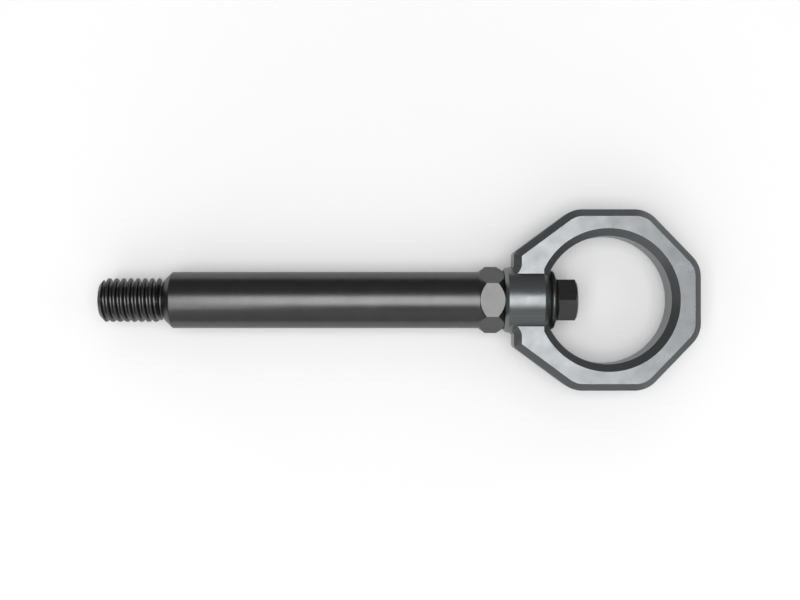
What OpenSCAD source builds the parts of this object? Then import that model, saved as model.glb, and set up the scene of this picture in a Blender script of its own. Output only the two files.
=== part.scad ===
// Screw-in tow eye: a turned shaft, a machined eye that swivels on its end, and the bolt that holds it.
// Millimetres. X runs along the shaft from the thread to the eye, and the eye lies flat in XY.
// The origin is on the shaft's axis, where the thread ends and its relief groove starts.

/* [Thread] */
// Outside diameter of the screwed end
thread_d = 19.5; // [18:0.1:22]
// Length of the screwed end, from its tip to the relief groove
thread_len = 26.7; // [20:0.1:40]
// Diameter of the flat at the tip
tip_d = 15.5; // [10:0.1:16]
// Diameter at the bottom of the relief groove
relief_d = 16.4; // [15:0.1:17.5]
// Width of the relief groove
relief_w = 1.5; // [0.5:0.1:3]
// Diameter at the foot of the cone that leads from the relief groove up to the body
cone_foot_d = 18; // [17.6:0.1:19.4]
// Distance from one turn of the thread to the next
thread_pitch = 3.17; // [2.6:0.01:4]
// Depth of the thread's turns
thread_depth = 1.55; // [0.5:0.05:1.7]
// Width of the flat on each crest and in each root
crest_w = 0.6; // [0.3:0.05:0.9]

/* [Shaft] */
// Diameter of the long round body
body_d = 25; // [22.5:0.1:25.2]
// Distance from the end of the thread to the face that carries the eye
reach = 151.5; // [60:0.5:200]
// Width of the hex collar across its flats
collar_af = 25.4; // [25.3:0.1:27.5]
// Length of the collar's full corners, between its chamfers
collar_corner = 5; // [2:0.1:12]
// Angle of the collar's front chamfer to the axis, on the eye's side
collar_front_angle = 32.7; // [25:0.1:45]
// Angle of the collar's back chamfer to the axis
collar_back_angle = 35; // [25:0.1:45]

/* [Eye outline] */
// Thickness of the eye's plate
plate_t = 19; // [15:0.1:22]
// Size of the chamfer round the outline and the hole
edge_chamfer = 3.15; // [1:0.05:3.8]
// Full width of the eye across the shaft
eye_w = 79.6; // [78:0.1:90]
// Distance from the joint face to the shoulders
shoulder_x = 4.2; // [3:0.1:6]
// Half width across the shoulders' corners
shoulder_half = 20.8; // [20:0.1:26]
// Distance from the joint face to the near end of each side flat
side_near = 30; // [27:0.1:34]
// Distance from the joint face to the far end of each side flat
side_far = 62.5; // [58:0.1:66]
// Distance from the joint face to the far end of the eye
eye_end = 86.2; // [83:0.1:95]
// Half length of the flat at the far end
end_half = 15.3; // [12:0.1:20]
// Radius of the six large outline corners
corner_r = 13; // [8:0.5:16]
// Radius of the two corners at the shoulders
shoulder_r = 1.8; // [1:0.1:2.5]
// Half width of the neck where it meets the shaft
neck_half = 12.75; // [12:0.05:13.5]
// Radius of the hollow between the neck and each shoulder
neck_r = 3.4; // [2:0.1:4]

/* [Eye hole and boss] */
// Diameter of the hole
hole_d = 56.4; // [50:0.2:60]
// Distance from the joint face to the middle of the hole
hole_x = 45.3; // [44:0.1:47]
// Diameter of the round boss that the bolt goes through
boss_d = 29.9; // [28:0.1:31]
// Distance from the joint face to the bolt's flat seat
seat_x = 20.2; // [19:0.1:22]
// Size of the chamfer at the boss's end on the shaft
boss_chamfer = 1.5; // [0.5:0.1:2]

/* [Bolt] */
// Diameter of the bolt's thread
bolt_d = 12; // [10:0.5:12]
// Length of the bolt under its head
bolt_len = 40; // [35:1:50]
// Width of the bolt's head across its flats
head_af = 18; // [16:0.5:19]
// Height of the head, from the seat to its end
head_h = 12; // [10:0.5:14]
// Diameter of the round flat on the head's end
head_end_d = 16.3; // [14:0.1:17]
// Diameter of the head's flange
flange_d = 26; // [24:0.5:27]
// Thickness of the flange at its rim
flange_rim = 2.1; // [1.2:0.1:2.4]
// Rise of the flange's cone towards the hexagon, in degrees
flange_slope = 23.5; // [15:0.5:30]

/* [Fits] */
// Radial clearance round the bolt in the boss
bore_clearance = 0.5; // [0.2:0.05:1]
// Radial clearance between the bolt's thread and the tapped hole
tapped_clearance = 0.02; // [0.01:0.01:0.1]
// Depth of the tapped hole past the bolt's end
tapped_spare = 4; // [2:0.5:10]

/* [Hidden] */
$fn = 96;
over = 1;                          // how far a cutting shape runs past what it cuts
half_t = plate_t / 2;
wall_half = half_t - edge_chamfer; // half height of the plain wall between the two chamfers
drill_angle = 118;
mouth_chamfer = 1;                 // countersink at the mouth of the tapped hole
bolt_tip_chamfer = 1;
bore_chamfer = 0.5;
blend_angle = 3;                   // how far from tangent the outline's arcs meet its sides
head_chamfer_angle = 30;
hex_to_corner = 1 / cos(30);       // corner radius of a hexagon for each unit of half width across flats

bore_r = bolt_d / 2 + bore_clearance;
tapped_r = bolt_d / 2 + tapped_clearance;
seat = reach + seat_x;             // the bolt head's seat
bolt_tip = seat - bolt_len;
collar_corner_r = collar_af / 2 * hex_to_corner;
front_chamfer = (collar_corner_r - collar_af / 2) / tan(collar_front_angle);
back_chamfer = (collar_corner_r - body_d / 2 + over / 2) / tan(collar_back_angle);
corner_front = reach - front_chamfer;
corner_back = corner_front - collar_corner;
tip_chamfer = (thread_d - tip_d) / 2;
thread_grooves = ceil((thread_len - tip_chamfer) / thread_pitch);

// The outline's corners, counter-clockwise from the lower shoulder: place and radius.
outline = [
    [[shoulder_x, -shoulder_half], shoulder_r],
    [[side_near, -eye_w / 2], corner_r],
    [[side_far, -eye_w / 2], corner_r],
    [[eye_end, -end_half], corner_r],
    [[eye_end, end_half], corner_r],
    [[side_far, eye_w / 2], corner_r],
    [[side_near, eye_w / 2], corner_r],
    [[shoulder_x, shoulder_half], shoulder_r],
];

function point(i) = outline[(i + len(outline)) % len(outline)][0];
function unit(v) = v / norm(v);
// Middle of the arc that rounds a corner, from the directions of the two sides that meet there.
// The arc crosses each side at blend_angle, because surfaces that only touch make a poor solid.
function arc_centre(i) =
    let (back = unit(point(i - 1) - point(i)), on = unit(point(i + 1) - point(i)))
    let (half_angle = acos(back * on) / 2)
    point(i) + unit(back + on) * outline[i][1] * cos(blend_angle) / sin(half_angle);
// Foot of the line that meets side p-q at a right angle from c
function foot(c, p, q) = p + unit(q - p) * ((c - p) * unit(q - p));

// A solid turned about the X axis from [distance along X, radius] points.
module turned(points) {
    rotate([0, 90, 0])
        rotate_extrude()
            polygon([for (p = points) [p[1], p[0]]]);
}

// A hexagonal bar along X. Its corners point up and down, or to the sides once turned by 30 degrees.
module hex_bar(af, from, to, turn = 0) {
    translate([from, 0, 0])
        rotate([turn, 0, 0])
            rotate([0, 90, 0])
                cylinder(r = af / 2 * hex_to_corner, h = to - from, $fn = 6);
}

// Thread blank, relief groove, shoulder cone and body, up to the face that carries the eye.
module shaft_blank() {
    cone = (body_d - cone_foot_d) / 2;
    turned([
        [-thread_len, 0],
        [-thread_len, tip_d / 2],
        [-thread_len + tip_chamfer, thread_d / 2],
        [0, thread_d / 2],
        [0, relief_d / 2],
        [relief_w, relief_d / 2],
        [relief_w, cone_foot_d / 2],
        [relief_w + cone, body_d / 2],
        [reach, body_d / 2],
        [reach, 0],
    ]);
}

// One of the grooves between the thread's crests, counted from the relief groove. Each turn is a ring of
// the thread's section, and the first crest ends at the relief groove.
module thread_groove(i) {
    start = -i * thread_pitch - crest_w;
    crest_r = thread_d / 2;
    root_r = crest_r - thread_depth;
    flank = thread_pitch / 2 - crest_w;
    rise = flank * over / thread_depth;
    turned([
        [start + rise, crest_r + over],
        [start - flank, root_r],
        [start - flank - crest_w, root_r],
        [start - flank - crest_w - flank - rise, crest_r + over],
    ]);
}

// Hex collar at the shaft's end, its corners turned down to a cone at each end.
module collar() {
    back_end = corner_back - back_chamfer;
    intersection() {
        hex_bar(collar_af, back_end, reach, turn = 30);
        turned([
            [back_end, 0],
            [back_end, (body_d - over) / 2],
            [corner_back, collar_corner_r],
            [corner_front, collar_corner_r],
            [reach, collar_af / 2],
            [reach, 0],
        ]);
    }
}

// Blind tapped hole in the shaft's end, with a drill point and a countersunk mouth.
module tapped_hole() {
    bottom = bolt_tip - tapped_spare;
    point_len = tapped_r / tan(drill_angle / 2);
    turned([
        [bottom - point_len, 0],
        [bottom, tapped_r],
        [reach - mouth_chamfer, tapped_r],
        [reach, tapped_r + mouth_chamfer],
        [reach + over, tapped_r + mouth_chamfer],
        [reach + over, 0],
    ]);
}

module shaft() {
    color("#26272a")
        difference() {
            union() {
                shaft_blank();
                collar();
            }
            for (i = [0:thread_grooves - 1])
                thread_groove(i);
            tapped_hole();
        }
}

// Everything on the left of the line from p to q, as thick as the plate, with both rims chamfered.
module side_slab(p, q) {
    far = 2 * eye_w;
    side = q - p;
    translate([p[0], p[1], 0])
        rotate([0, 0, atan2(side[1], side[0])])
            rotate([90, 0, 90])
                linear_extrude(height = 2 * far, center = true)
                    polygon([
                        [0, -wall_half],
                        [edge_chamfer, -half_t],
                        [far, -half_t],
                        [far, half_t],
                        [edge_chamfer, half_t],
                        [0, wall_half],
                    ]);
}

// What is cut off one corner of the outline, to leave an arc. A large arc's rims are chamfered too.
module corner_cut(i) {
    c = arc_centre(i);
    r = outline[i][1];
    start = foot(c, point(i - 1), point(i));
    end = foot(c, point(i), point(i + 1));
    beyond = 2 * (point(i) - c);
    top = half_t + over;
    flare = r > edge_chamfer + over ? edge_chamfer + over : 0;
    difference() {
        linear_extrude(height = 2 * top, center = true)
            polygon([
                start + (start - end),
                start + (start - end) + beyond,
                end + (end - start) + beyond,
                end + (end - start),
            ]);
        translate([c[0], c[1], 0])
            rotate_extrude()
                polygon([
                    [0, -top - over],
                    [r - flare, -top - over],
                    [r - flare, -top],
                    [r, -wall_half],
                    [r, wall_half],
                    [r - flare, top],
                    [r - flare, top + over],
                    [0, top + over],
                ]);
    }
}

// The eight-sided plate with chamfered rims and round corners.
module plate() {
    difference() {
        intersection_for (i = [0 : len(outline) - 1])
            side_slab(point(i), point(i + 1));
        for (i = [0 : len(outline) - 1])
            corner_cut(i);
    }
}

// Round hollow between the neck and one shoulder. Its rims flare where it cuts the plate.
module neck_hollow(side, flare) {
    top = half_t + over;
    turned_profile = [
        [0, -top],
        [neck_r + flare * (edge_chamfer + over), -top],
        [neck_r, -wall_half],
        [neck_r, wall_half],
        [neck_r + flare * (edge_chamfer + over), top],
        [0, top],
    ];
    translate([shoulder_x - neck_r, side * (neck_half + neck_r), 0])
        rotate_extrude()
            polygon(turned_profile);
}

// The part of the plate that joins it to the boss, between the two shoulders.
module neck() {
    back = boss_chamfer;
    front = shoulder_x + edge_chamfer + over;
    difference() {
        translate([back, -neck_half - neck_r, -half_t])
            cube([front - back, 2 * (neck_half + neck_r), plate_t]);
        for (side = [-1, 1])
            neck_hollow(side, flare = 1);
    }
}

// The boss, with its sides cut to the neck's outline.
module boss() {
    difference() {
        turned([
            [0, 0],
            [0, boss_d / 2 - boss_chamfer],
            [boss_chamfer, boss_d / 2],
            [seat_x - edge_chamfer, boss_d / 2],
            [seat_x, boss_d / 2 - edge_chamfer],
            [seat_x, 0],
        ]);
        for (side = [-1, 1]) {
            neck_hollow(side, flare = 0);
            translate([-over, side > 0 ? neck_half : -neck_half - neck_r, -half_t])
                cube([shoulder_x - neck_r + over, neck_r, plate_t]);
        }
    }
}

// The eye's hole: a circle with chamfered rims, flat on the side of the bolt's seat.
module hole() {
    top = half_t + over;
    flare = edge_chamfer + over;
    intersection() {
        translate([hole_x, 0, 0])
            rotate_extrude()
                polygon([
                    [0, -top],
                    [hole_d / 2 + flare, -top],
                    [hole_d / 2, -wall_half],
                    [hole_d / 2, wall_half],
                    [hole_d / 2 + flare, top],
                    [0, top],
                ]);
        rotate([90, 0, 0])
            linear_extrude(height = hole_d, center = true)
                polygon([
                    [seat_x - flare, -top],
                    [eye_end, -top],
                    [eye_end, top],
                    [seat_x - flare, top],
                    [seat_x, wall_half],
                    [seat_x, -wall_half],
                ]);
    }
}

// Clearance bore for the bolt, through the boss.
module bolt_bore() {
    turned([
        [-over, 0],
        [-over, bore_r + bore_chamfer + over],
        [bore_chamfer, bore_r],
        [seat_x - bore_chamfer, bore_r],
        [seat_x + over, bore_r + bore_chamfer + over],
        [seat_x + over, 0],
    ]);
}

module eye() {
    color("#b9bec1")
        translate([reach, 0, 0])
            difference() {
                union() {
                    difference() {
                        union() {
                            plate();
                            neck();
                        }
                        hole();
                    }
                    boss();
                }
                bolt_bore();
            }
}

// Hexagon of the bolt's head, with its end chamfered to a round flat.
module bolt_hexagon() {
    corner = head_af / 2 * hex_to_corner;
    chamfer = (corner - head_end_d / 2) * tan(head_chamfer_angle);
    intersection() {
        hex_bar(head_af, seat + flange_rim, seat + head_h);
        turned([
            [seat, 0],
            [seat, corner],
            [seat + head_h - chamfer, corner],
            [seat + head_h, head_end_d / 2],
            [seat + head_h, 0],
        ]);
    }
}

// Shank with a chamfered tip, and the flange's disc and cone.
module bolt_turned() {
    rim_r = flange_d / 2 - flange_rim / 2;
    inner_r = head_af / 2 - over;
    turned([
        [bolt_tip, 0],
        [bolt_tip, bolt_d / 2 - bolt_tip_chamfer],
        [bolt_tip + bolt_tip_chamfer, bolt_d / 2],
        [seat, bolt_d / 2],
        [seat, rim_r],
        [seat + flange_rim, rim_r],
        [seat + flange_rim + (rim_r - inner_r) * tan(flange_slope), inner_r],
        [seat + flange_rim + (rim_r - inner_r) * tan(flange_slope), 0],
    ]);
}

// Rounded rim of the flange.
module flange_round() {
    translate([seat + flange_rim / 2, 0, 0])
        rotate([0, 90, 0])
            rotate_extrude()
                translate([flange_d / 2 - flange_rim / 2, 0])
                    circle(d = flange_rim);
}

module bolt() {
    color("#1c1d1f")
        union() {
            bolt_turned();
            flange_round();
            bolt_hexagon();
        }
}

shaft();
eye();
bolt();
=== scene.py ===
import math

import bmesh
import bpy
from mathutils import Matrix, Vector


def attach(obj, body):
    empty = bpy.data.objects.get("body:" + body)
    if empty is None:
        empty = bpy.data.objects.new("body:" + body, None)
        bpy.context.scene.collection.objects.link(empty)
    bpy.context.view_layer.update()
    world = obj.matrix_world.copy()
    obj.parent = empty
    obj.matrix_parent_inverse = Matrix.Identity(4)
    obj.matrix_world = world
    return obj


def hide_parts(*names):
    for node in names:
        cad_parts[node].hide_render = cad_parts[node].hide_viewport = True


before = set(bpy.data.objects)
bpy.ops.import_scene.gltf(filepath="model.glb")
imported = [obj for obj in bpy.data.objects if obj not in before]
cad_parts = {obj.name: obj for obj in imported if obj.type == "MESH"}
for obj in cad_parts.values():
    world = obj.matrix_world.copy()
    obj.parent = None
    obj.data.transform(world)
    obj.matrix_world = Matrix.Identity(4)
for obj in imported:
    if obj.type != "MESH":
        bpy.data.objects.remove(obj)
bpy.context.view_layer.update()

MM = 0.001
TINY = 1e-6                    # a length in millimetres that counts as none
MERGE = 1e-7                   # points nearer than this, in metres, become one
OVER = 1.0                     # how far a cutting shape runs past what it cuts
ROUND_STEPS = 4
SIDE_SHARE = 2.2               # a turned hollow starts at most a side's length over this from its corner
SHARP_TURNED = 26              # degrees above which an edge is shaded sharp on the turned pieces
SHARP_EYE = 40                 # and on the eye
BREAK_ANGLE = 25               # degrees above which an edge of the eye is broken

# Shaft, in millimetres along X from the end of the thread
THREAD_LEN = 26.7
THREAD_R = 9.75
THREAD_PITCH = 3.17
THREAD_CREST = -1.06           # where a crest passes the shaft's +Y side
THREAD_ARC = 0.2385            # radius of the rounded crests and roots, in pitches
THREAD_FLANK = math.radians(75)
THREAD_STEPS = 220
TIP_R = 7.75
RELIEF_R = 8.2
RELIEF_FROM = 0.5              # where the thread's last turn has run out
RELIEF_TO = 1.25
RUN_OUT = 1.2                  # slope at which the thread's crests end
CONE_FOOT = (1.45, 9.05)       # foot of the cone that leads up to the body
CONE_END = 5.0
BODY_R = 12.5
REACH = 151.5                  # face that carries the eye
COLLAR_AF = 25.4
COLLAR_CORNER = 5.0
COLLAR_FRONT = math.radians(32.7)
COLLAR_BACK = math.radians(35)
COLLAR_LEAD = 4.0              # plain body between the last ring of the neck and the collar
FACE_INSET = 0.06              # how far the front chamfer's foot stays inside the flats
FACE_BREAK = 0.05
FACE_RING = 9.5                # a ring on the end face, between its rim and the tapped hole
TAPPED_R = 6.02
TAPPED_SPARE = 4.0
TAPPED_MOUTH = 1.0
DRILL_POINT = math.radians(59)
EDGE = 0.2                     # radius of the turned edges
HOLLOW_R = 0.3                 # radius of the turned hollows
SHAFT_SEGMENTS = 192

# Eye, in millimetres from the joint face
HALF_T = 9.5
CHAMFER = 3.15
WALL = HALF_T - CHAMFER
NECK_HALF = 12.75
NECK_R = 3.4
SHOULDER_X = 4.2
SHOULDER_HALF = 20.8
SHOULDER_R = 1.8
HALF_W = 39.8
SIDE_NEAR = 30.0
SIDE_FAR = 62.5
EYE_END = 86.2
END_HALF = 15.3
CORNER_R = 13.0
CORNER_STEP = 3                # degrees between the points of a round corner
HOLE_R = 28.2
HOLE_X = 45.3
HOLE_STEPS = 108
BOSS_R = 14.95
BOSS_HALF = 14.25              # half width across the boss's sides, at its end
BOSS_HOLLOW_R = 3.0
BOSS_HOLLOW_STEPS = 24
BOSS_CHAMFER = 1.5
BOSS_SEGMENTS = 160
SEAT_X = 20.2
BORE_R = 6.5
BORE_CHAMFER = 0.5
BORE_SEGMENTS = 96
BROKEN_EDGE = 0.15

# Bolt, in millimetres
SEAT = REACH + SEAT_X
BOLT_R = 6.0
BOLT_LEN = 40.0
BOLT_PITCH = 1.75
BOLT_THREAD_DEPTH = 0.61       # in pitches
BOLT_THREAD_END = 1.0          # how far the thread stops short of the joint face
BOLT_STEPS = 200
BOLT_TIP = 1.0                 # chamfer at the tip
BOLT_SEGMENTS = 144
TIP_BREAK = 0.1
HEAD_FILLET = [(-0.4, 0.0), (-0.1, 0.1), (0.0, 0.4)]  # points under the head: along X, and outwards
HEAD_AF = 18.0
HEAD_H = 12.0
HEAD_END_R = 8.15
HEAD_CHAMFER = math.radians(30)
HEAD_FOOT = [0.9, 0.3]         # how far out the rings of the hexagon's foot lie
HEAD_FOOT_RISE = 0.3
FLANGE_R = 13.0
FLANGE_RIM = 2.1
FLANGE_RIM_STEPS = 12
FLANGE_SLOPE = math.radians(23.5)
HEX_STEPS = 6                  # rings along a hexagon's flats

# Black coating. Noise scales count per metre, and most of a noise lies within NOISE_SPAN
NOISE_SPAN = (0.3, 0.7)
GLANCING_TINT = (0.8, 0.8, 0.8, 1)
SHAFT_BLACK = (0.104, 0.3)     # grey level and roughness
BOLT_BLACK = (0.108, 0.32)
BLACK_TONES = (0.94, 1.06)
BLACK_SHEEN = 0.02             # how far the roughness varies each way
BLACK_CLOUD_SCALE = 90
BLACK_SHEEN_SCALE = 400
BLACK_GRAIN_SCALE = 2600
BLACK_GRAIN_STRENGTH = 0.04
BLACK_GRAIN_DEPTH = 0.0002

# Machined steel
STEEL_METALLIC = 0.92
STEEL_DARK = (0.167, 0.175, 0.180)
STEEL_LIGHT = (0.199, 0.208, 0.213)
STEEL_ROUGHNESS = (0.26, 0.34)
STEEL_CLOUD_SCALE = 190
STEEL_FILM_SCALE = 150
FLAT_FACE = (0.9, 0.98)        # square of the normal's Z at which a face counts as flat

# Camera, in millimetres: it looks straight down on the eye's flat face
CAMERA_X = 105.7
CAMERA_H = 493.8
LENS = 50.0
CLIP_START = 0.01

# Floor: a white sheet under the object, with its half lengths in metres, on a grey floor
FLOOR_HALF = 12.0
FLOOR_ROUGHNESS = 0.9
SHEET = 0.85
SHEET_X = 0.187
SHEET_Y = 0.141
SHEET_FADE = 0.025
ROOM_FLOOR = 0.3
# The sheet's glow is painted light and shade: weaker near the middle, a painted shade round the object, and
# stronger towards the sheet's edges, a painted light.
LIFT_NEAR = 0.09               # the sheet's lift grows between these distances from the middle
LIFT_FAR = 0.21
LIFT_MIDDLE = 0.071
LIFT_EDGE = 0.139

# The room round the object: darker walls and a lighter ceiling, with the heights between which they blend
WALL_GREY = 0.115
CEILING_GREY = 0.18
WALL_TOP = 0.05
CEILING_FROM = 0.45

# Lamps that the metal mirrors: name, place and target from the middle in metres, size, radiance
MIRRORED_LAMPS = [
    ("softbox_top", (-0.025, -0.04, 0.85), (-0.025, -0.04, 0), (0.74, 0.52), 3.95),
    ("softbox_end", (-0.38, -0.48, 0.85), (-0.1, 0, 0), (0.2, 0.3), 3.2),
    ("panel_front", (0, -1.3, 0.6), (0, 0, 0), (3.0, 1.4), 0.37),
    ("panel_right", (1.3, 0.3, 0.6), (0, 0, 0), (2.2, 1.2), 0.13),
    ("panel_left", (-1.3, -0.5, 0.6), (0, 0, 0), (1.4, 1.2), 0.15),
]

# Lamps that only soften the shadow: name, place from the middle in metres, radiance
SHADE_LAMP_SIZE = (0.9, 0.7)
SHADE_LAMPS = [
    ("shade_front", (0, -0.85, 0.6), 0.8),
    ("shade_back", (0, 0.85, 0.6), 0.72),
    ("shade_left", (-0.85, 0, 0.6), 0.4),
    ("shade_right", (0.85, 0, 0.6), 0.71),
]


def link(name, data):
    """A new object for a mesh, lamp or camera, in the scene."""
    obj = bpy.data.objects.new(name, data)
    bpy.context.scene.collection.objects.link(obj)
    return obj


def solid(name, bm):
    """A new object for a closed bmesh, with its normals turned outwards."""
    bmesh.ops.recalc_face_normals(bm, faces=bm.faces)
    mesh = bpy.data.meshes.new(name)
    bm.to_mesh(mesh)
    bm.free()
    return link(name, mesh)


def baked(obj):
    """The object with its modifiers applied."""
    deps = bpy.context.evaluated_depsgraph_get()
    mesh = bpy.data.meshes.new_from_object(obj.evaluated_get(deps))
    obj.modifiers.clear()
    old = obj.data
    obj.data = mesh
    bpy.data.meshes.remove(old)
    return obj


def smooth(obj, angle):
    """Smooth shading with the edges above this angle, in degrees, kept sharp."""
    obj.data.shade_smooth()
    obj.data.set_sharp_from_angle(angle=math.radians(angle))
    return obj


def bevel(obj, width, angle):
    """Breaks the edges above this angle, in degrees, by a small radius in millimetres."""
    mod = obj.modifiers.new("edges", "BEVEL")
    mod.width = width * MM
    mod.segments = 2
    mod.limit_method = "ANGLE"
    mod.angle_limit = math.radians(angle)
    mod.use_clamp_overlap = True
    return baked(obj)


def weighted(obj):
    """Normals that follow the large faces, so a broken edge doesn't shade the face beside it."""
    mod = obj.modifiers.new("normals", "WEIGHTED_NORMAL")
    mod.mode = "FACE_AREA"
    mod.weight = 100
    mod.thresh = 0.01
    mod.keep_sharp = True
    return baked(obj)


def joined(obj, tool, operation):
    """The object after a boolean operation with the tool, which is then removed."""
    mod = obj.modifiers.new("cut", "BOOLEAN")
    mod.operation = operation
    mod.solver = "EXACT"
    mod.object = tool
    baked(obj)
    bpy.data.objects.remove(tool)
    return obj


def lathe(name, rings, segments):
    """A closed solid round X. Each ring is (x, r) in mm, or a function of the angle from +Y to +Z."""
    bm = bmesh.new()
    loops = []
    for ring in rings:
        at = ring if callable(ring) else (lambda angle, ring=ring: ring)
        if at(0.0)[1] < TINY:
            loops.append([bm.verts.new((at(0.0)[0] * MM, 0, 0))])
            continue
        loop = []
        for k in range(segments):
            angle = 2 * math.pi * k / segments
            x, r = at(angle)
            loop.append(bm.verts.new((x * MM, r * math.cos(angle) * MM, r * math.sin(angle) * MM)))
        loops.append(loop)
    for near, far in zip(loops, loops[1:]):
        for k in range(segments):
            n = (k + 1) % segments
            corners = [near[k % len(near)], near[n % len(near)], far[n % len(far)], far[k % len(far)]]
            bm.faces.new(list(dict.fromkeys(corners)))
    return solid(name, bm)


def rounded(points, radius):
    """The same turned outline with its inner corners rounded by a small arc."""
    out = [points[0]]
    for a, b, c in zip(points, points[1:], points[2:]):
        p, q, s = Vector(a), Vector(b), Vector(c)
        back, on = (p - q), (s - q)
        reach = min(radius, back.length / SIDE_SHARE, on.length / SIDE_SHARE)
        start = q + back.normalized() * reach
        end = q + on.normalized() * reach
        for k in range(ROUND_STEPS + 1):
            t = k / ROUND_STEPS
            out.append(tuple(start * (1 - t) ** 2 + q * 2 * t * (1 - t) + end * t ** 2))
    out.append(points[-1])
    return out


def hexagon(angle, af, corner_at):
    """Radius of a hexagon at this angle. corner_at is the angle of one corner."""
    side = math.pi / 3
    off = (angle - corner_at) % side - side / 2
    return af / 2 / math.cos(off)


def round_thread_drop(u, pitch):
    """Depth below the crest of a round thread, u turns from the crest."""
    arc = THREAD_ARC * pitch
    s = abs((u + 0.5) % 1 - 0.5) * pitch
    arc_end = arc * math.sin(THREAD_FLANK)
    arc_drop = arc * (1 - math.cos(THREAD_FLANK))
    if s <= arc_end:
        return arc - math.sqrt(arc * arc - s * s)
    if s < pitch / 2 - arc_end:
        return arc_drop + (s - arc_end) * math.tan(THREAD_FLANK)
    left = pitch / 2 - s
    return pitch / 2 - (arc - math.sqrt(arc * arc - left * left))


def vee_thread_drop(u, pitch):
    """The same for a metric thread: 60 degree flanks, and a crest an eighth of the pitch wide."""
    s = abs((u + 0.5) % 1 - 0.5) * pitch
    depth = (s - pitch / 16) * math.tan(math.radians(60))
    return min(max(depth, 0), BOLT_THREAD_DEPTH * pitch)


def thread_ring(x, crest_r, root_r, pitch, crest_at, drop, limit):
    """One ring of a right-hand thread at x. limit is the largest radius there."""
    def at(angle):
        turns = (x - crest_at) / pitch - angle / (2 * math.pi)
        return x, min(limit, max(root_r, crest_r - drop(turns, pitch)))
    return at


def shaft_thread():
    """Rings of the round thread, from the chamfer at its tip to its run-out in the relief."""
    rings = []
    for k in range(THREAD_STEPS + 1):
        x = -THREAD_LEN + (THREAD_LEN + RELIEF_FROM) * k / THREAD_STEPS
        tip_limit = TIP_R + (x + THREAD_LEN)
        end_limit = RELIEF_R + (RELIEF_FROM - x) * RUN_OUT
        rings.append(thread_ring(x, THREAD_R, RELIEF_R, THREAD_PITCH, THREAD_CREST,
                                 round_thread_drop, min(tip_limit, THREAD_R, end_limit)))
    return rings


def collar_rings(corner_r, corner_front, corner_back):
    """Rings along the hexagon, whose ends follow the curves that the two chamfers leave on its flats."""
    def between(t):
        def at(angle):
            r = hexagon(angle, COLLAR_AF, 0)
            back = corner_back - (corner_r - r) / math.tan(COLLAR_BACK)
            front = corner_front + (corner_r - r) / math.tan(COLLAR_FRONT)
            return back + (front - back) * t, r
        return at

    return [between(k / HEX_STEPS) for k in range(HEX_STEPS + 1)]


def build_shaft():
    """Round thread, relief groove, body, hex collar and tapped hole, as one closed mesh."""
    corner_r = COLLAR_AF / 2 / math.cos(math.pi / 6)
    face_r = COLLAR_AF / 2 - FACE_INSET
    corner_front = REACH - (corner_r - face_r) / math.tan(COLLAR_FRONT)
    corner_back = corner_front - COLLAR_CORNER
    back_start = corner_back - (corner_r - BODY_R) / math.tan(COLLAR_BACK)

    rings = [(-THREAD_LEN, 0), (-THREAD_LEN, TIP_R / 2), (-THREAD_LEN, TIP_R - EDGE)]
    rings += shaft_thread()
    rings += rounded([
        (RELIEF_FROM + 0.02, RELIEF_R),
        (RELIEF_TO, RELIEF_R),
        CONE_FOOT,
        (CONE_END, BODY_R),
        (back_start - COLLAR_LEAD, BODY_R),
    ], HOLLOW_R)
    rings += [(back_start - EDGE, BODY_R), (back_start + EDGE * 0.6, BODY_R + EDGE * 0.3)]
    rings += collar_rings(corner_r, corner_front, corner_back)
    bottom = SEAT - BOLT_LEN - TAPPED_SPARE
    rings += [
        (REACH, face_r - FACE_BREAK),
        (REACH, FACE_RING),
        (REACH, TAPPED_R + TAPPED_MOUTH),
        (REACH - TAPPED_MOUTH, TAPPED_R),
        (bottom, TAPPED_R),
        (bottom - TAPPED_R / math.tan(DRILL_POINT), 0),
    ]
    return smooth(lathe("shaft_turned", rings, SHAFT_SEGMENTS), SHARP_TURNED)


def bolt_shank():
    """Rings of the shank, from its tip over the metric thread to the fillet under the head."""
    tip = SEAT - BOLT_LEN
    rings = [(tip, 0), (tip, BOLT_R - BOLT_TIP - TIP_BREAK)]
    for k in range(BOLT_STEPS + 1):
        x = tip + (BOLT_LEN - SEAT_X - BOLT_THREAD_END) * k / BOLT_STEPS
        rings.append(thread_ring(x, BOLT_R, BOLT_R - BOLT_THREAD_DEPTH * BOLT_PITCH, BOLT_PITCH, tip,
                                 vee_thread_drop, min(BOLT_R - BOLT_TIP + (x - tip), BOLT_R)))
    return rings + [(REACH, BOLT_R)] + [(SEAT + x, BOLT_R + out) for x, out in HEAD_FILLET]


def bolt_head():
    """Rings of the flange's round rim, of its cone's hollow and of the hexagon."""
    rim = FLANGE_RIM / 2
    rings = []
    for k in range(FLANGE_RIM_STEPS + 1):
        angle = math.pi * (k / FLANGE_RIM_STEPS - 0.5)
        rings.append((SEAT + rim + rim * math.sin(angle), FLANGE_R - rim + rim * math.cos(angle)))

    def cone_x(r):
        return SEAT + FLANGE_RIM + (FLANGE_R - rim - r) * math.tan(FLANGE_SLOPE)

    def foot(out):
        def at(angle):
            r = hexagon(angle, HEAD_AF, math.pi / 2) + out
            return cone_x(r), r
        return at

    def side(t):
        def at(angle):
            r = hexagon(angle, HEAD_AF, math.pi / 2)
            low = cone_x(r) + HEAD_FOOT_RISE
            high = SEAT + HEAD_H - (r - HEAD_END_R) * math.tan(HEAD_CHAMFER)
            return low + (high - low) * t, r
        return at

    rings += [foot(out) for out in HEAD_FOOT]
    rings += [side(k / HEX_STEPS) for k in range(HEX_STEPS + 1)]
    return rings + [(SEAT + HEAD_H, HEAD_END_R * share) for share in (1, 0.5, 0)]


def build_bolt():
    """Hex flange bolt with its threaded shank, as one closed mesh."""
    return smooth(lathe("bolt_flanged", bolt_shank() + bolt_head(), BOLT_SEGMENTS), SHARP_TURNED)


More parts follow.
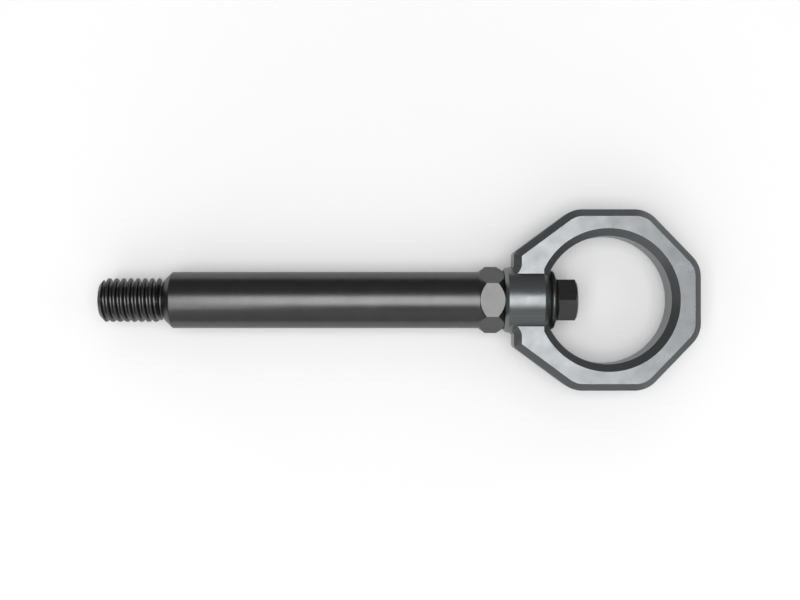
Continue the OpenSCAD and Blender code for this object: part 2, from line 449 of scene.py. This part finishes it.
def outline_loops(corners, inset):
    """Points of a rounded outline and of the same outline moved in by inset. Corners are (x, y, r)."""
    wall, inner = [], []
    count = len(corners)
    for i, (x, y, r) in enumerate(corners):
        v = Vector((x, y))
        back = (v - Vector(corners[i - 1][:2])).normalized()
        on = (Vector(corners[(i + 1) % count][:2]) - v).normalized()
        turn = math.atan2(back.x * on.y - back.y * on.x, back.dot(on))
        out_angle = math.atan2(-back.x, back.y)
        bend = 1 if turn > 0 else -1
        bisector = Vector((math.cos(out_angle + turn / 2), math.sin(out_angle + turn / 2)))
        centre = v - bisector * bend * r / math.cos(turn / 2)
        steps = max(1, round(math.degrees(abs(turn)) / CORNER_STEP))
        for k in range(steps + 1):
            angle = out_angle + turn * k / steps
            out = Vector((math.cos(angle), math.sin(angle)))
            point = centre + out * bend * r
            wall.append(point)
            if bend > 0 and r < inset:
                inner.append(v - bisector * inset / math.cos(turn / 2))
            else:
                inner.append(point - out * inset)
    return wall, inner


def stacked(name, levels):
    """A closed solid from loops of points, each at its own height, with flat ends."""
    bm = bmesh.new()
    loops = [[bm.verts.new((p[0] * MM, p[1] * MM, z * MM)) for p in loop] for loop, z in levels]
    for low, high in zip(loops, loops[1:]):
        for k in range(len(low)):
            n = (k + 1) % len(low)
            bm.faces.new([low[k], low[n], high[n], high[k]])
    bm.faces.new(list(reversed(loops[0])))
    bm.faces.new(loops[-1])
    bmesh.ops.remove_doubles(bm, verts=bm.verts, dist=MERGE)
    bmesh.ops.dissolve_degenerate(bm, edges=bm.edges, dist=MERGE)
    return solid(name, bm)


def shifted(points):
    """Points given from the joint face, moved into the shaft's frame."""
    return [(p[0] + REACH, p[1]) for p in points]


def plate_blank():
    """The plate with its chamfered outline, which begins square inside the boss's chamfer."""
    half = [
        (SHOULDER_X, -NECK_HALF, NECK_R),
        (SHOULDER_X, -SHOULDER_HALF, SHOULDER_R),
        (SIDE_NEAR, -HALF_W, CORNER_R),
        (SIDE_FAR, -HALF_W, CORNER_R),
        (EYE_END, -END_HALF, CORNER_R),
    ]
    corners = half + [(x, -y, r) for x, y, r in reversed(half)]
    corners = [(0.0, -NECK_HALF, 0.0)] + corners + [(0.0, NECK_HALF, 0.0)]
    wall, inner = outline_loops(corners, CHAMFER)
    for w, p in zip(wall, inner):
        at_start = w.x <= BOSS_CHAMFER + TINY
        w.x = max(w.x, BOSS_CHAMFER)
        p.x = BOSS_CHAMFER if at_start else max(p.x, BOSS_CHAMFER)
    wall, inner = shifted(wall), shifted(inner)
    return stacked("eye_machined", [(inner, -HALF_T), (wall, -WALL), (wall, WALL), (inner, HALF_T)])


def hole_loop(flare):
    """The hole's outline at one height: an arc, closed by the straight side at the bolt's seat."""
    r = HOLE_R + flare
    chord = HOLE_X - SEAT_X + flare
    half_angle = math.acos(chord / r)
    sweep = 2 * math.pi - 2 * half_angle
    points = []
    for k in range(HOLE_STEPS + 1):
        angle = math.pi + half_angle + sweep * k / HOLE_STEPS
        points.append((HOLE_X + r * math.cos(angle), r * math.sin(angle)))
    return shifted(points)


def hole_cutter():
    """What is cut out of the plate: the hole with the chamfers of its two rims."""
    flare = CHAMFER + OVER
    top = HALF_T + OVER
    return stacked("hole", [
        (hole_loop(flare), -top),
        (hole_loop(0), -WALL),
        (hole_loop(0), WALL),
        (hole_loop(flare), top),
    ])


def boss_blank():
    """The boss, turned about the shaft's axis."""
    outline = [
        (REACH, 0),
        (REACH, BOSS_R - BOSS_CHAMFER),
        (REACH + BOSS_CHAMFER, BOSS_R),
        (SEAT - CHAMFER, BOSS_R),
        (SEAT, BOSS_R - CHAMFER),
        (SEAT, 0),
    ]
    return lathe("boss", outline, BOSS_SEGMENTS)


def side_cutter(side):
    """What is cut off one side of the boss: a straight side that ends in a hollow at the shoulder."""
    cx = SHOULDER_X - BOSS_HOLLOW_R
    cy = BOSS_HALF + BOSS_HOLLOW_R
    points = [(-OVER, BOSS_HALF)]
    for k in range(BOSS_HOLLOW_STEPS + 1):
        angle = math.pi / 2 * (k / BOSS_HOLLOW_STEPS - 1)
        points.append((cx + BOSS_HOLLOW_R * math.cos(angle), cy + BOSS_HOLLOW_R * math.sin(angle)))
    points.append((-OVER, cy))
    points = shifted([(x, y * side) for x, y in points])
    return stacked("side_cut", [(points, -BOSS_R), (points, BOSS_R)])


def bore_cutter():
    """What is cut out of the boss for the bolt: a bore with a chamfer at each end."""
    mouth_r = BORE_R + BORE_CHAMFER + OVER
    return lathe("bore", [
        (REACH - OVER, 0),
        (REACH - OVER, mouth_r),
        (REACH + BORE_CHAMFER, BORE_R),
        (SEAT - BORE_CHAMFER, BORE_R),
        (SEAT + OVER, mouth_r),
        (SEAT + OVER, 0),
    ], BORE_SEGMENTS)


def build_eye():
    """The plate with its hole, the boss and its bore, in one mesh with broken edges."""
    eye = joined(plate_blank(), hole_cutter(), "DIFFERENCE")
    boss = boss_blank()
    for side in (-1, 1):
        joined(boss, side_cutter(side), "DIFFERENCE")
    joined(eye, boss, "UNION")
    joined(eye, bore_cutter(), "DIFFERENCE")
    bevel(eye, BROKEN_EDGE, BREAK_ANGLE)
    return weighted(smooth(eye, SHARP_EYE))


class Nodes:
    """Short calls for the nodes of a material or the world, whose main shader is named."""

    def __init__(self, owner, shader):
        owner.use_nodes = True
        self.owner = owner
        self.tree = owner.node_tree
        self.shader = self.tree.nodes[shader]
        self.coords = self.add("ShaderNodeTexCoord").outputs

    def add(self, kind, **settings):
        node = self.tree.nodes.new(kind)
        for key, value in settings.items():
            setattr(node, key, value)
        return node

    def link(self, start, end):
        self.tree.links.new(start, end)

    def fix(self, socket, value):
        """Sets one value for the whole surface."""
        self.shader.inputs[socket].default_value = value

    def put(self, value, socket):
        """Lets a node's output drive the shader."""
        self.link(value, self.shader.inputs[socket])

    def noise(self, scale, detail, rough=0.5):
        node = self.add("ShaderNodeTexNoise")
        node.inputs["Scale"].default_value = scale
        node.inputs["Detail"].default_value = detail
        node.inputs["Roughness"].default_value = rough
        self.link(self.coords["Object"], node.inputs["Vector"])
        return node.outputs["Fac"]

    def range(self, value, low, high, new_low, new_high):
        node = self.add("ShaderNodeMapRange")
        limits = {"From Min": low, "From Max": high, "To Min": new_low, "To Max": new_high}
        for name, limit in limits.items():
            node.inputs[name].default_value = limit
        self.link(value, node.inputs["Value"])
        return node.outputs["Result"]

    def math(self, operation, first, second):
        node = self.add("ShaderNodeMath", operation=operation)
        self.link(first, node.inputs[0])
        self.link(second, node.inputs[1])
        return node.outputs["Value"]

    def vector(self, operation, first, second=(0, 0, 0)):
        node = self.add("ShaderNodeVectorMath", operation=operation)
        self.link(first, node.inputs[0])
        node.inputs[1].default_value = second
        return node.outputs["Value" if operation == "LENGTH" else "Vector"]

    def parts(self, vector):
        node = self.add("ShaderNodeSeparateXYZ")
        self.link(vector, node.inputs["Vector"])
        return node.outputs

    def blend(self, factor, first, second):
        node = self.add("ShaderNodeMix", data_type="RGBA")
        self.link(factor, node.inputs["Factor"])
        node.inputs["A"].default_value = (*first, 1)
        node.inputs["B"].default_value = (*second, 1)
        return node.outputs["Result"]

    def bump(self, height, strength, distance):
        node = self.add("ShaderNodeBump")
        node.inputs["Strength"].default_value = strength
        node.inputs["Distance"].default_value = distance
        self.link(height, node.inputs["Height"])
        self.put(node.outputs["Normal"], "Normal")


def new_material(name):
    """The nodes of a new material."""
    return Nodes(bpy.data.materials.new(name), "Principled BSDF")


def black_steel(name, shade, roughness):
    """Satin black coating: an even sheen with faint fine grain."""
    n = new_material(name)
    n.fix("Metallic", 1.0)
    n.fix("Specular Tint", GLANCING_TINT)
    dark, light = BLACK_TONES
    tone = n.range(n.noise(BLACK_CLOUD_SCALE, 4, 0.6), *NOISE_SPAN, 0, 1)
    n.put(n.blend(tone, [shade * dark] * 3, [shade * light] * 3), "Base Color")
    sheen = n.noise(BLACK_SHEEN_SCALE, 3)
    n.put(n.range(sheen, *NOISE_SPAN, roughness - BLACK_SHEEN, roughness + BLACK_SHEEN), "Roughness")
    n.bump(n.noise(BLACK_GRAIN_SCALE, 2), BLACK_GRAIN_STRENGTH, BLACK_GRAIN_DEPTH)
    return n.owner


def flat_clouds(n, scale, flat, low, high):
    """Clouds from low to high on the flat faces. Elsewhere they fade to the middle of the two."""
    cloud = n.range(n.noise(scale, 2), *NOISE_SPAN, -0.5, 0.5)
    return n.range(n.math("MULTIPLY", cloud, flat), -0.5, 0.5, low, high)


def satin_steel():
    """Machined steel, with a faint cloudy film on its flat faces."""
    n = new_material("satin_steel")
    n.fix("Metallic", STEEL_METALLIC)
    n.fix("Specular Tint", GLANCING_TINT)
    up = n.parts(n.coords["Normal"])["Z"]
    flat = n.range(n.math("MULTIPLY", up, up), *FLAT_FACE, 0, 1)
    tone = flat_clouds(n, STEEL_CLOUD_SCALE, flat, 0, 1)
    n.put(n.blend(tone, STEEL_DARK, STEEL_LIGHT), "Base Color")
    n.put(flat_clouds(n, STEEL_FILM_SCALE, flat, *STEEL_ROUGHNESS), "Roughness")
    return n.owner


def floor_material():
    """A white sheet on a grey floor. The camera and mirroring surfaces see the sheet a little lifted by a
    glow, which is painted shade near the middle and painted light towards the sheet's edges.
    """
    n = new_material("floor")
    n.fix("Roughness", FLOOR_ROUGHNESS)
    n.fix("Specular IOR Level", 0.0)
    from_middle = n.vector("SUBTRACT", n.coords["Object"], (CAMERA_X * MM, 0, 0))
    past = n.parts(n.vector("SUBTRACT", n.vector("ABSOLUTE", from_middle), (SHEET_X, SHEET_Y, 0)))
    past_edge = n.math("MAXIMUM", past["X"], past["Y"])
    n.put(n.blend(n.range(past_edge, 0, SHEET_FADE, 0, 1), [SHEET] * 3, [ROOM_FLOOR] * 3), "Base Color")

    # Painted shade and light: the glow is weaker round the object and grows towards the sheet's edges.
    distance = n.vector("LENGTH", from_middle)
    lift = n.math("MINIMUM", n.range(distance, LIFT_NEAR, LIFT_FAR, LIFT_MIDDLE, LIFT_EDGE),
                  n.range(past_edge, 0, SHEET_FADE, LIFT_EDGE, 0))
    path = n.add("ShaderNodeLightPath").outputs
    seen = n.math("MAXIMUM", path["Is Camera Ray"], path["Is Glossy Ray"])
    seen = n.math("MAXIMUM", seen, path["Is Transmission Ray"])
    glow = n.add("ShaderNodeEmission")
    n.link(n.math("MULTIPLY", seen, lift), glow.inputs["Strength"])
    total = n.add("ShaderNodeAddShader")
    n.link(n.shader.outputs["BSDF"], total.inputs[0])
    n.link(glow.outputs["Emission"], total.inputs[1])
    n.link(total.outputs["Shader"], n.tree.nodes["Material Output"].inputs["Surface"])
    return n.owner


def build_floor():
    """The floor at the height of the boss's lowest line, on which the part lies."""
    signs = [(-1, -1), (1, -1), (1, 1), (-1, 1)]
    mesh = bpy.data.meshes.new("floor")
    mesh.from_pydata([(x * FLOOR_HALF, y * FLOOR_HALF, -BOSS_R * MM) for x, y in signs], [], [(0, 1, 2, 3)])
    floor = link("floor", mesh)
    floor.data.materials.append(floor_material())


def area_light(name, place, target, size, radiance):
    """A rectangular lamp that faces the target. radiance is how bright its face looks."""
    data = bpy.data.lights.new(name, "AREA")
    data.shape = "RECTANGLE"
    data.size, data.size_y = size
    data.energy = radiance * math.pi * size[0] * size[1]
    lamp = link(name, data)
    lamp.location = place
    lamp.rotation_euler = (target - place).to_track_quat("-Z", "Y").to_euler()
    return lamp


def build_light():
    """A softbox overhead and one at the thread's end, broad dim panels, and lamps for the shadow."""
    middle = Vector((CAMERA_X * MM, 0, 0))
    for name, place, target, size, radiance in MIRRORED_LAMPS:
        area_light(name, middle + Vector(place), middle + Vector(target), size, radiance)
    for name, place, radiance in SHADE_LAMPS:
        lamp = area_light(name, middle + Vector(place), middle, SHADE_LAMP_SIZE, radiance)
        lamp.visible_glossy = False


def build_room():
    """A grey world, darker at the walls than at the ceiling."""
    world = bpy.data.worlds.new("world")
    n = Nodes(world, "Background")
    height = n.parts(n.coords["Generated"])["Z"]
    n.put(n.range(height, WALL_TOP, CEILING_FROM, WALL_GREY, CEILING_GREY), "Color")
    bpy.context.scene.world = world


def build_camera():
    """The photograph's camera. A new camera looks straight down, with +Y up in the picture."""
    data = bpy.data.cameras.new("camera")
    data.lens = LENS
    data.clip_start = CLIP_START
    camera = link("camera", data)
    camera.location = (CAMERA_X * MM, 0, CAMERA_H * MM)
    bpy.context.scene.camera = camera


def dress(piece, node, body, material):
    """The piece stands for the CAD node, moves with its body and takes the material."""
    piece.data.materials.clear()
    piece.data.materials.append(material)
    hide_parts(node)
    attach(piece, body)


build_camera()
build_floor()
build_light()
build_room()
dress(build_shaft(), "shaft", "shaft", black_steel("black_steel", *SHAFT_BLACK))
dress(build_bolt(), "bolt", "shaft", black_steel("bolt_black", *BOLT_BLACK))
dress(build_eye(), "eye", "eye", satin_steel())

bpy.context.scene.view_settings.view_transform = "Standard"
